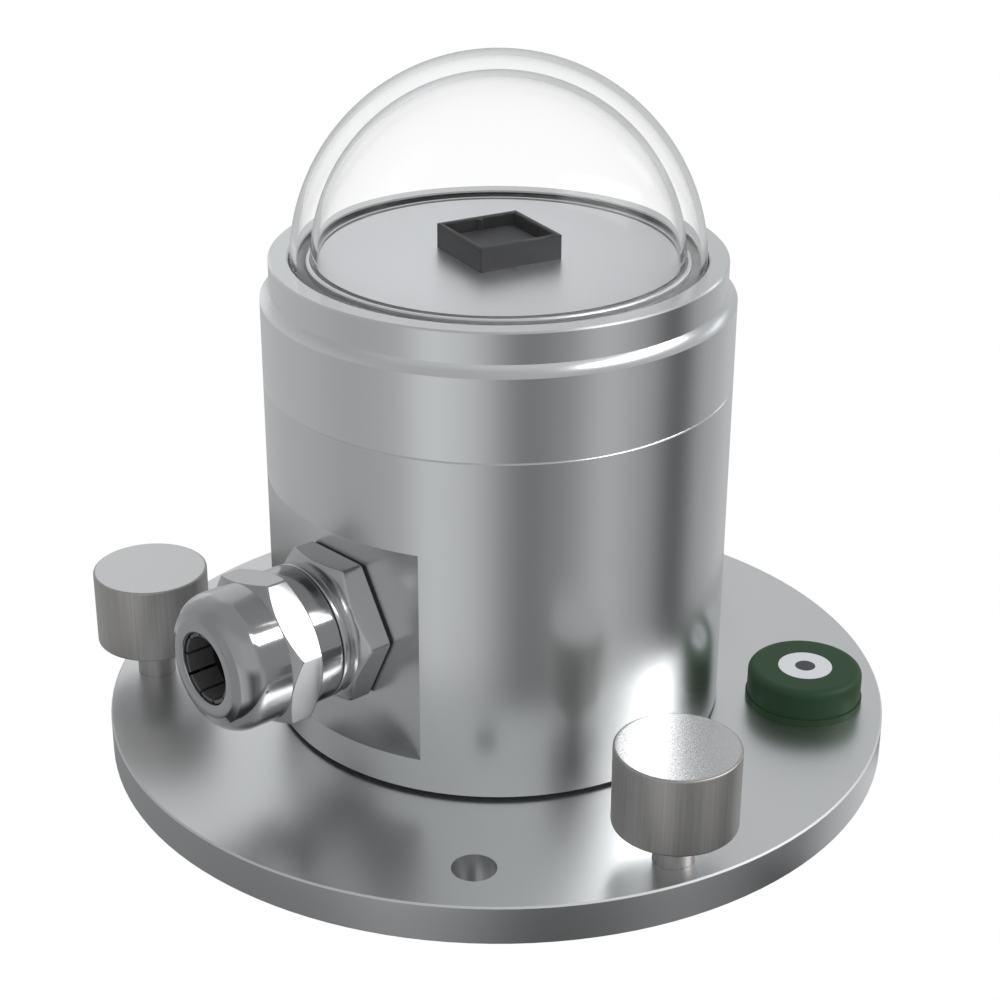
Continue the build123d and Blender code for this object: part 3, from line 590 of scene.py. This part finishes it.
def upright(station, radius, angle):
    return Vector((radius * math.cos(angle), radius * math.sin(angle), station))


def make_dome(node, outer):
    inner = outer - DOME_WALL
    rows = [(DOME_FOOT + z, r) for r, z in arc((0.0, 0.0), outer, 0.0, 90.0, DOME_STEPS)]
    rows += [(DOME_FOOT + z, r) for r, z in arc((0.0, 0.0), inner, 90.0, 0.0, DOME_STEPS)]
    piece = ring_mesh(node + "_fine", rows, upright, 192, True, [glass])
    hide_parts(node)
    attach(piece, "instrument")


make_dome("outer_dome", OUTER_DOME_R)
make_dome("inner_dome", INNER_DOME_R)

# Levelling screws: a knob with a brushed side and a fine faced top, on its stud
SCREW_PLACES = (60.0, 180.0, 300.0)
SCREW_RADIUS = 0.04507
KNOB_R = 7.3
KNOB_BOTTOM = 10.07
KNOB_TOP = 19.92
KNOB_EDGE = 0.28
KNOB_FACE_R = 3.0
STUD_R = 2.42
STUD_EDGE = 0.3
PIVOT_R = 1.15
PIVOT_LENGTH = 1.0
THREAD_TURN_INNER_R = 2.43
THREAD_TURN_OUTER_R = 2.52
THREAD_TURN_BOTTOM = 0.2
THREAD_TURN_TOP = 0.01


def screw_place(azimuth):
    a = math.radians(azimuth)
    centre = Vector((SCREW_RADIUS * math.cos(a), SCREW_RADIUS * math.sin(a), 0.0))

    def place(station, radius, angle):
        return centre + upright(station, radius, angle)

    return place


def make_screws():
    for number, azimuth in enumerate(SCREW_PLACES, 1):
        node = f"levelling_screw_{number}"
        pivot_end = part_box(node)[0][2] / MM
        shoulder = pivot_end + PIVOT_LENGTH
        side = KNOB_R - KNOB_EDGE
        rows = [(pivot_end, 0.0), (pivot_end, PIVOT_R), (shoulder, PIVOT_R), (shoulder, STUD_R - STUD_EDGE)]
        rows += [(shoulder + STUD_EDGE, STUD_R), (KNOB_BOTTOM, STUD_R), (KNOB_BOTTOM, side)]
        underside = len(rows) - 2
        rows += arc((KNOB_BOTTOM + KNOB_EDGE, side), KNOB_EDGE, 180.0, 90.0, 5)
        rows += arc((KNOB_TOP - KNOB_EDGE, side), KNOB_EDGE, 90.0, 0.0, 6)
        rows += [(KNOB_TOP, KNOB_R - 0.6), (KNOB_TOP, KNOB_FACE_R), (KNOB_TOP, 0.0)]
        # The knob's top is faced and its side brushed. The underside gets the top's paler metal as painted
        # light, which lightens its shaded reflection in the housing
        tints = [0] * len(rows)
        tints[-4:] = [1] * 4
        # Painted light: the shaded underside takes the paler top metal
        tints[underside] = 1
        place = screw_place(azimuth)
        piece = ring_mesh(f"knob_{number}", rows, place, 256, False, [knob_side, knob_top], tints)
        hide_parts(node)
        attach(piece, f"screw_{number}")


make_screws()


# First thread turn in each tapped hole, close round the stud
def make_thread_mouths():
    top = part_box("base_plate")[1][2] / MM
    high = top - THREAD_TURN_TOP
    low = top - THREAD_TURN_BOTTOM
    for number, azimuth in enumerate(SCREW_PLACES, 1):
        rows = [(low, THREAD_TURN_OUTER_R), (low, THREAD_TURN_INNER_R)]
        rows += [(high, THREAD_TURN_INNER_R), (high, THREAD_TURN_OUTER_R)]
        piece = ring_mesh(f"thread_mouth_{number}", rows, screw_place(azimuth), 96, True, [base_metal])
        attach(piece, "instrument")


make_thread_mouths()


# Black ring in the seam between housing and collar: painted shade of the gap between them
SEAM = 48.9
SEAM_HALF = 0.1
SEAM_INNER_R = 28.2
SEAM_OUTER_R = 28.52


def make_seam_shade():
    rows = [(SEAM - SEAM_HALF, SEAM_INNER_R), (SEAM - SEAM_HALF, SEAM_OUTER_R)]
    rows += [(SEAM + SEAM_HALF, SEAM_OUTER_R), (SEAM + SEAM_HALF, SEAM_INNER_R)]
    # The ring's black is painted shade, not a part of the instrument
    piece = ring_mesh("seam_painted_shade", rows, upright, 256, True, [rubber])
    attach(piece, "instrument")


make_seam_shade()


# Beads of bond that hold the two domes, by inner and outer radius, bottom and top
OUTER_BEAD = (23.06, 25.07, 62.61, 63.3)
INNER_BEAD = (21.7, 22.58, 62.8, 63.86)


def make_bead(name, inner, outer, low, high):
    bead_round = (high - low) / 3
    rows = [(low, inner), (high - bead_round, inner), (high, inner + bead_round), (high, outer - bead_round)]
    rows += [(high - bead_round, outer), (low, outer)]
    piece = ring_mesh(name, rows, upright, 256, True, [bond])
    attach(piece, "instrument")


make_bead("outer_bead", *OUTER_BEAD)
make_bead("inner_bead", *INNER_BEAD)


# Two switches: one for rays that the camera sees straight or through the domes, and one for rays that
# a surface mirrors. A ray that has done neither only brings even light. A count of bounces is a whole
# number, so below a half it is none
NO_BOUNCE = 0.5


def ray_kinds(tree):
    path = tree.nodes.new("ShaderNodeLightPath")
    bounces = maths(tree, "ADD", path.outputs["Glossy Depth"], path.outputs["Diffuse Depth"])
    straight = maths(tree, "LESS_THAN", bounces, NO_BOUNCE)
    through = maths(tree, "MULTIPLY", path.outputs["Is Transmission Ray"], straight)
    seen = maths(tree, "MAXIMUM", path.outputs["Is Camera Ray"], through)
    no_diffuse = maths(tree, "LESS_THAN", path.outputs["Diffuse Depth"], NO_BOUNCE)
    passed = maths(tree, "MULTIPLY", path.outputs["Is Transmission Ray"], no_diffuse)
    mirrored = maths(tree, "MAXIMUM", path.outputs["Is Glossy Ray"], passed)
    return seen, mirrored


def mix_shaders(tree, factor, first, second):
    node = tree.nodes.new("ShaderNodeMixShader")
    for source, socket in zip((factor, first, second), node.inputs):
        link(tree, source, socket)
    return node.outputs[0]


# Floor: pale to the light that bounces off it, and open to the camera, which sees the white world
# behind it and the feet that are turned out below it. What metal mirrors through it carries painted
# light: a painted contact shadow all round the base plate, and a painted pool of light in one sector at the
# picture's right
FLOOR_HALF = 3.0
FLOOR_GAP = 0.0001
FLOOR_TONE = (0.8, 0.8, 0.8, 1.0)
# Painted contact shadow: the radii in metres over which it fades out, and its level; painted pool of light:
# its level, azimuth and sector
PAINTED_SHADOW_START = 0.056
PAINTED_SHADOW_END = 0.068
PAINTED_SHADOW_LEVEL = 0.5
PAINTED_LIGHT_LEVEL = 1.25
PAINTED_LIGHT_AZIMUTH = CAMERA_AZIMUTH + math.radians(62.0)
PAINTED_LIGHT_SECTOR = (0.93, 0.99)


# Painted contact shadow round the base plate and a painted pool of light in one sector, as the colour of
# what is mirrored through the floor
def floor_painted_shade_and_light(tree):
    coords = tree.nodes.new("ShaderNodeTexCoord")
    away = tree.nodes.new("ShaderNodeVectorMath")
    away.operation = "LENGTH"
    link(tree, coords.outputs["Object"], away.inputs[0])
    along = tree.nodes.new("ShaderNodeVectorMath")
    along.operation = "DOT_PRODUCT"
    along.inputs[1].default_value = (math.cos(PAINTED_LIGHT_AZIMUTH), math.sin(PAINTED_LIGHT_AZIMUTH), 0.0)
    link(tree, coords.outputs["Object"], along.inputs[0])
    lean = maths(tree, "DIVIDE", along.outputs["Value"], away.outputs["Value"])
    sector = step(tree, lean, *PAINTED_LIGHT_SECTOR)
    tint = tree.nodes.new("ShaderNodeMapRange")
    tint.interpolation_type = "SMOOTHSTEP"
    tint.inputs["From Min"].default_value = PAINTED_SHADOW_START
    tint.inputs["From Max"].default_value = PAINTED_SHADOW_END
    tint.inputs["To Max"].default_value = 1.0
    link(tree, span(tree, sector, PAINTED_SHADOW_LEVEL, PAINTED_LIGHT_LEVEL), tint.inputs["To Min"])
    link(tree, away.outputs["Value"], tint.inputs["Value"])
    return tint.outputs["Result"]


def add_floor():
    mesh = bpy.data.meshes.new("floor")
    corners = [(x * FLOOR_HALF, y * FLOOR_HALF, 0.0) for x, y in ((-1, -1), (1, -1), (1, 1), (-1, 1))]
    mesh.from_pydata(corners, [], [(0, 1, 2, 3)])
    floor = bpy.data.objects.new("floor", mesh)
    floor.location.z = -FLOOR_GAP
    scene.collection.objects.link(floor)
    material = bpy.data.materials.new("floor")
    material.use_nodes = True
    tree = material.node_tree
    tree.nodes.clear()
    seen, mirrored = ray_kinds(tree)
    out = tree.nodes.new("ShaderNodeOutputMaterial")
    pale = tree.nodes.new("ShaderNodeBsdfDiffuse")
    pale.inputs["Color"].default_value = FLOOR_TONE
    unseen = tree.nodes.new("ShaderNodeBsdfTransparent")
    clear = tree.nodes.new("ShaderNodeBsdfTransparent")
    # The see-through floor passes the painted shadow and painted light on to what metal mirrors
    link(tree, floor_painted_shade_and_light(tree), clear.inputs["Color"])
    unlit = mix_shaders(tree, mirrored, pale.outputs[0], clear.outputs[0])
    link(tree, mix_shaders(tree, seen, unlit, unseen.outputs[0]), out.inputs["Surface"])
    mesh.materials.append(material)


add_floor()


# World: white to the camera and through glass, and a soft studio with pale and grey walls for the
# metal to mirror. Each wall tone stands at its azimuth in degrees, counted from the camera's side
# towards the picture's right.
LOW_WALLS = (
    (-180, 0.56),
    (-150, 0.52),
    (-110, 0.47),
    (-75, 0.4),
    (-52, 0.42),
    (-32, 0.69),
    (-18, 0.6),
    (14, 0.17),
    (30, 0.25),
    (54, 0.52),
    (72, 0.38),
    (96, 0.07),
    (118, 0.42),
    (150, 0.58),
    (180, 0.58),
)
HIGH_WALLS = (
    (-180, 0.68),
    (-165, 0.8),
    (-145, 0.6),
    (-120, 0.5),
    (-90, 0.4),
    (-30, 0.55),
    (0, 0.6),
    (40, 0.58),
    (62, 0.42),
    (95, 0.35),
    (130, 0.48),
    (168, 0.58),
    (180, 0.66),
)
CEILING = 0.45
GROUND = 0.08
DIFFUSE_LEVEL = 0.46
WALL_TINT = (0.985, 1.0, 1.01)
WALL_CHANGE = (-0.15, 0.15)
CEILING_START = (0.6, 0.9)
GROUND_START = (-0.65, -0.85)


def wall_ring(tree, turn, walls):
    ramp = tree.nodes.new("ShaderNodeValToRGB")
    ramp.color_ramp.interpolation = "EASE"
    stops = ramp.color_ramp.elements
    while len(stops) < len(walls):
        stops.new(0.5)
    for stop, (degrees, tone) in zip(stops, walls):
        stop.position = (degrees + 180) / 360
        stop.color = (*(tone * tint for tint in WALL_TINT), 1.0)
    link(tree, turn, ramp.inputs["Fac"])
    return ramp.outputs["Color"]


def blend_colours(tree, factor, first, second):
    node = tree.nodes.new("ShaderNodeMix")
    node.data_type = "RGBA"
    link(tree, factor, node.inputs["Factor"])
    for source, name in ((first, "A"), (second, "B")):
        if isinstance(source, float):
            node.inputs[name].default_value = (*(source * tint for tint in WALL_TINT), 1.0)
        else:
            link(tree, source, node.inputs[name])
    return node.outputs["Result"]


def add_world():
    world = bpy.data.worlds.new("studio")
    scene.world = world
    world.use_nodes = True
    world.cycles.sampling_method = "NONE"
    tree = world.node_tree
    tree.nodes.clear()
    coords = tree.nodes.new("ShaderNodeTexCoord")
    swing = tree.nodes.new("ShaderNodeMapping")
    swing.inputs["Rotation"].default_value = (0.0, 0.0, -CAMERA_AZIMUTH)
    split = tree.nodes.new("ShaderNodeSeparateXYZ")
    turn = tree.nodes.new("ShaderNodeMapRange")
    turn.inputs["From Min"].default_value = -math.pi
    turn.inputs["From Max"].default_value = math.pi
    link(tree, coords.outputs["Generated"], swing.inputs["Vector"])
    link(tree, swing.outputs["Vector"], split.inputs["Vector"])
    angle = maths(tree, "ARCTAN2", split.outputs["Y"], split.outputs["X"])
    link(tree, angle, turn.inputs["Value"])
    height = split.outputs["Z"]
    low = wall_ring(tree, turn.outputs["Result"], LOW_WALLS)
    high = wall_ring(tree, turn.outputs["Result"], HIGH_WALLS)
    walls = blend_colours(tree, step(tree, height, *WALL_CHANGE), low, high)
    roofed = blend_colours(tree, step(tree, height, *CEILING_START), walls, CEILING)
    room = blend_colours(tree, step(tree, height, *GROUND_START), roofed, GROUND)
    out = tree.nodes.new("ShaderNodeOutputWorld")
    studio = tree.nodes.new("ShaderNodeBackground")
    link(tree, room, studio.inputs["Color"])
    plain = tree.nodes.new("ShaderNodeBackground")
    plain.inputs["Color"].default_value = (DIFFUSE_LEVEL, DIFFUSE_LEVEL, DIFFUSE_LEVEL, 1.0)
    white_background = tree.nodes.new("ShaderNodeBackground")
    white_background.inputs["Color"].default_value = (1.0, 1.0, 1.0, 1.0)
    seen, mirrored = ray_kinds(tree)
    lit = mix_shaders(tree, mirrored, plain.outputs[0], studio.outputs[0])
    link(tree, mix_shaders(tree, seen, lit, white_background.outputs[0]), out.inputs["Surface"])


add_world()

scene.view_settings.view_transform = "Standard"


# Lamps: soft boxes that face the part, placed like the walls by azimuth and elevation in degrees
LAMP_DISTANCE = 0.8
LAMP_AIM = Vector((0.0, 0.0, 0.035))
BLUE_WHITE = (0.9, 0.96, 1.0)


def soft_box(name, azimuth, elevation, width, height, power, roll=0.0):
    data = bpy.data.lights.new(name, "AREA")
    data.shape = "RECTANGLE"
    data.size = width
    data.size_y = height
    data.energy = power
    lamp = bpy.data.objects.new(name, data)
    scene.collection.objects.link(lamp)
    a = CAMERA_AZIMUTH + math.radians(azimuth)
    e = math.radians(elevation)
    towards = Vector((math.cos(a) * math.cos(e), math.sin(a) * math.cos(e), math.sin(e)))
    lamp.location = towards * LAMP_DISTANCE
    aim = LAMP_AIM - lamp.location
    turn = aim.to_track_quat("-Z", "Y").to_matrix() @ Matrix.Rotation(math.radians(roll), 3, "Z")
    lamp.rotation_euler = turn.to_euler()
    return lamp


soft_box("key", 78.8, 39.4, 0.2, 0.62, 2.25, roll=46.0)
soft_box("back_left", -150.0, 8.0, 0.24, 0.36, 0.06)
back_right = soft_box("back_right", 131.0, 23.0, 0.1, 0.24, 0.085)
back_right.data.color = BLUE_WHITE
